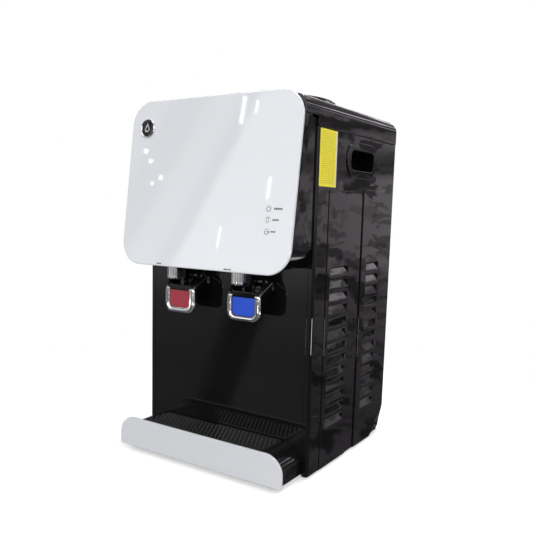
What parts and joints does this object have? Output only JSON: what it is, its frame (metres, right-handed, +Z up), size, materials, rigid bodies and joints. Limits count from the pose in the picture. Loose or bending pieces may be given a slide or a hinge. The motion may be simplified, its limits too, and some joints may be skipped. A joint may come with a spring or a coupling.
{
  "type": "countertop water dispenser",
  "caption": "Countertop hot and cold water dispenser with a tilted front plate, push-lever taps, drip tray with lift-out grille, top bottle seat, louvred sides and a rear condenser.",
  "frame": {"origin": "on the resting surface, at the middle of the footprint", "axes": "+Z up, front plate and taps towards -Y, +X to the right seen from the front"},
  "size_m": [0.3, 0.339, 0.549],
  "materials": {
    "black_gloss": "gloss",
    "black_satin": "satin",
    "white_gloss": "gloss",
    "chrome": "polished",
    "steel": "satin",
    "black_steel": "satin paint",
    "rubber": "matte",
    "red_plastic": "satin",
    "blue_plastic": "satin",
    "foam": "matte",
    "copper": "satin",
    "board": "satin",
    "silicone": "matte",
    "lens": "gloss",
    "white_plastic": "satin"
  },
  "bodies": {
    "cabinet": {"badge_face": "black_gloss", "badge_ring": "chrome", "base_frame": "black_satin", "cold_tank": "steel", "cold_water_tube": "silicone", "compressor": "black_steel", "compressor_bracket": "steel", "condenser_bracket_left": "steel", "condenser_bracket_right": "steel", "condenser_coil": "black_steel", "drain_spout": "white_plastic", "evaporator_coil": "copper", "filter_drier": "copper", "foot_front_left": "rubber", "foot_front_right": "rubber", "foot_rear_left": "rubber", "foot_rear_right": "rubber", "front_housing": "black_gloss", "front_panel": "black_gloss", "front_plate": "white_gloss", "hot_tank": "steel", "hot_water_tube": "silicone", "indicator_board": "board", "left_side_panel": "black_gloss", "lens_cold": "lens", "lens_hot": "lens", "lens_power": "lens", "lever_pin_cold": "steel", "lever_pin_hot": "steel", "power_inlet": "black_satin", "rear_panel": "black_steel", "receptacle_seal": "silicone", "right_side_panel": "black_gloss", "spout_cold": "chrome", "spout_hot": "chrome", "switch_housing": "black_satin", "tank_insulation": "foam", "tap_body_cold": "black_satin", "tap_body_hot": "black_satin", "tap_nut_cold": "white_plastic", "tap_nut_hot": "white_plastic", "top_cover": "black_gloss", "valve_spring_cold": "steel", "valve_spring_hot": "steel"},
    "hot_lever": {"lever_hot": "black_satin", "lever_frame_hot": "chrome", "lever_insert_hot": "red_plastic"},
    "cold_lever": {"lever_cold": "black_satin", "lever_frame_cold": "chrome", "lever_insert_cold": "blue_plastic"},
    "hot_valve": {"valve_stem_hot": "silicone"},
    "cold_valve": {"valve_stem_cold": "silicone"},
    "drip_tray": {"drip_tray": "black_satin", "drip_tray_fascia": "white_gloss"},
    "grille": {"drip_grille": "black_gloss"},
    "bottle_seat": {"bottle_receptacle": "black_gloss", "bottle_probe": "white_plastic"},
    "hot_rocker": {"hot_switch": "red_plastic"},
    "cold_rocker": {"cold_switch": "black_satin"},
    "drain_cap": {"drain_cap": "black_satin"}
  },
  "joints": [
    {"name": "hot_lever_press", "type": "hinge", "parent": "cabinet", "child": "hot_lever", "pos_m": [-0.0585, -0.1195, 0.281], "axis": [1, 0, 0], "range_deg": [0, 15], "stiffness_Nm_per_rad": 0.3, "springref_deg": -11.46},
    {"name": "hot_valve_lift", "type": "slide", "parent": "cabinet", "child": "hot_valve", "axis": [0, 0, 1], "range_m": [0, 0.0018], "deforming": ["valve_spring_hot"]},
    {"name": "cold_lever_press", "type": "hinge", "parent": "cabinet", "child": "cold_lever", "pos_m": [0.0585, -0.1195, 0.281], "axis": [1, 0, 0], "range_deg": [0, 15], "stiffness_Nm_per_rad": 0.3, "springref_deg": -11.46},
    {"name": "cold_valve_lift", "type": "slide", "parent": "cabinet", "child": "cold_valve", "axis": [0, 0, 1], "range_m": [0, 0.0018], "deforming": ["valve_spring_cold"]},
    {"name": "drip_tray_pull", "type": "slide", "parent": "cabinet", "child": "drip_tray", "axis": [0, -1, 0], "range_m": [0, 0.07]},
    {"name": "grille_lift", "type": "slide", "parent": "drip_tray", "child": "grille", "axis": [0, 0, 1], "range_m": [0, 0.03]},
    {"name": "bottle_seat_lift", "type": "slide", "parent": "cabinet", "child": "bottle_seat", "axis": [0, 0, 1], "range_m": [0, 0.06]},
    {"name": "hot_switch_rock", "type": "hinge", "parent": "cabinet", "child": "hot_rocker", "pos_m": [0.096, 0.1565, 0.079], "axis": [1, 0, 0], "range_deg": [0, 18]},
    {"name": "cold_switch_rock", "type": "hinge", "parent": "cabinet", "child": "cold_rocker", "pos_m": [0.066, 0.1565, 0.079], "axis": [1, 0, 0], "range_deg": [0, 18]},
    {"name": "drain_cap_pull", "type": "slide", "parent": "cabinet", "child": "drain_cap", "axis": [0, 1, 0], "range_m": [0, 0.02]}
  ],
  "couplings": [
    {"joint": "hot_valve_lift", "follows": "hot_lever_press", "m_per_rad": 0.0067},
    {"joint": "cold_valve_lift", "follows": "cold_lever_press", "m_per_rad": 0.0067}
  ]
}
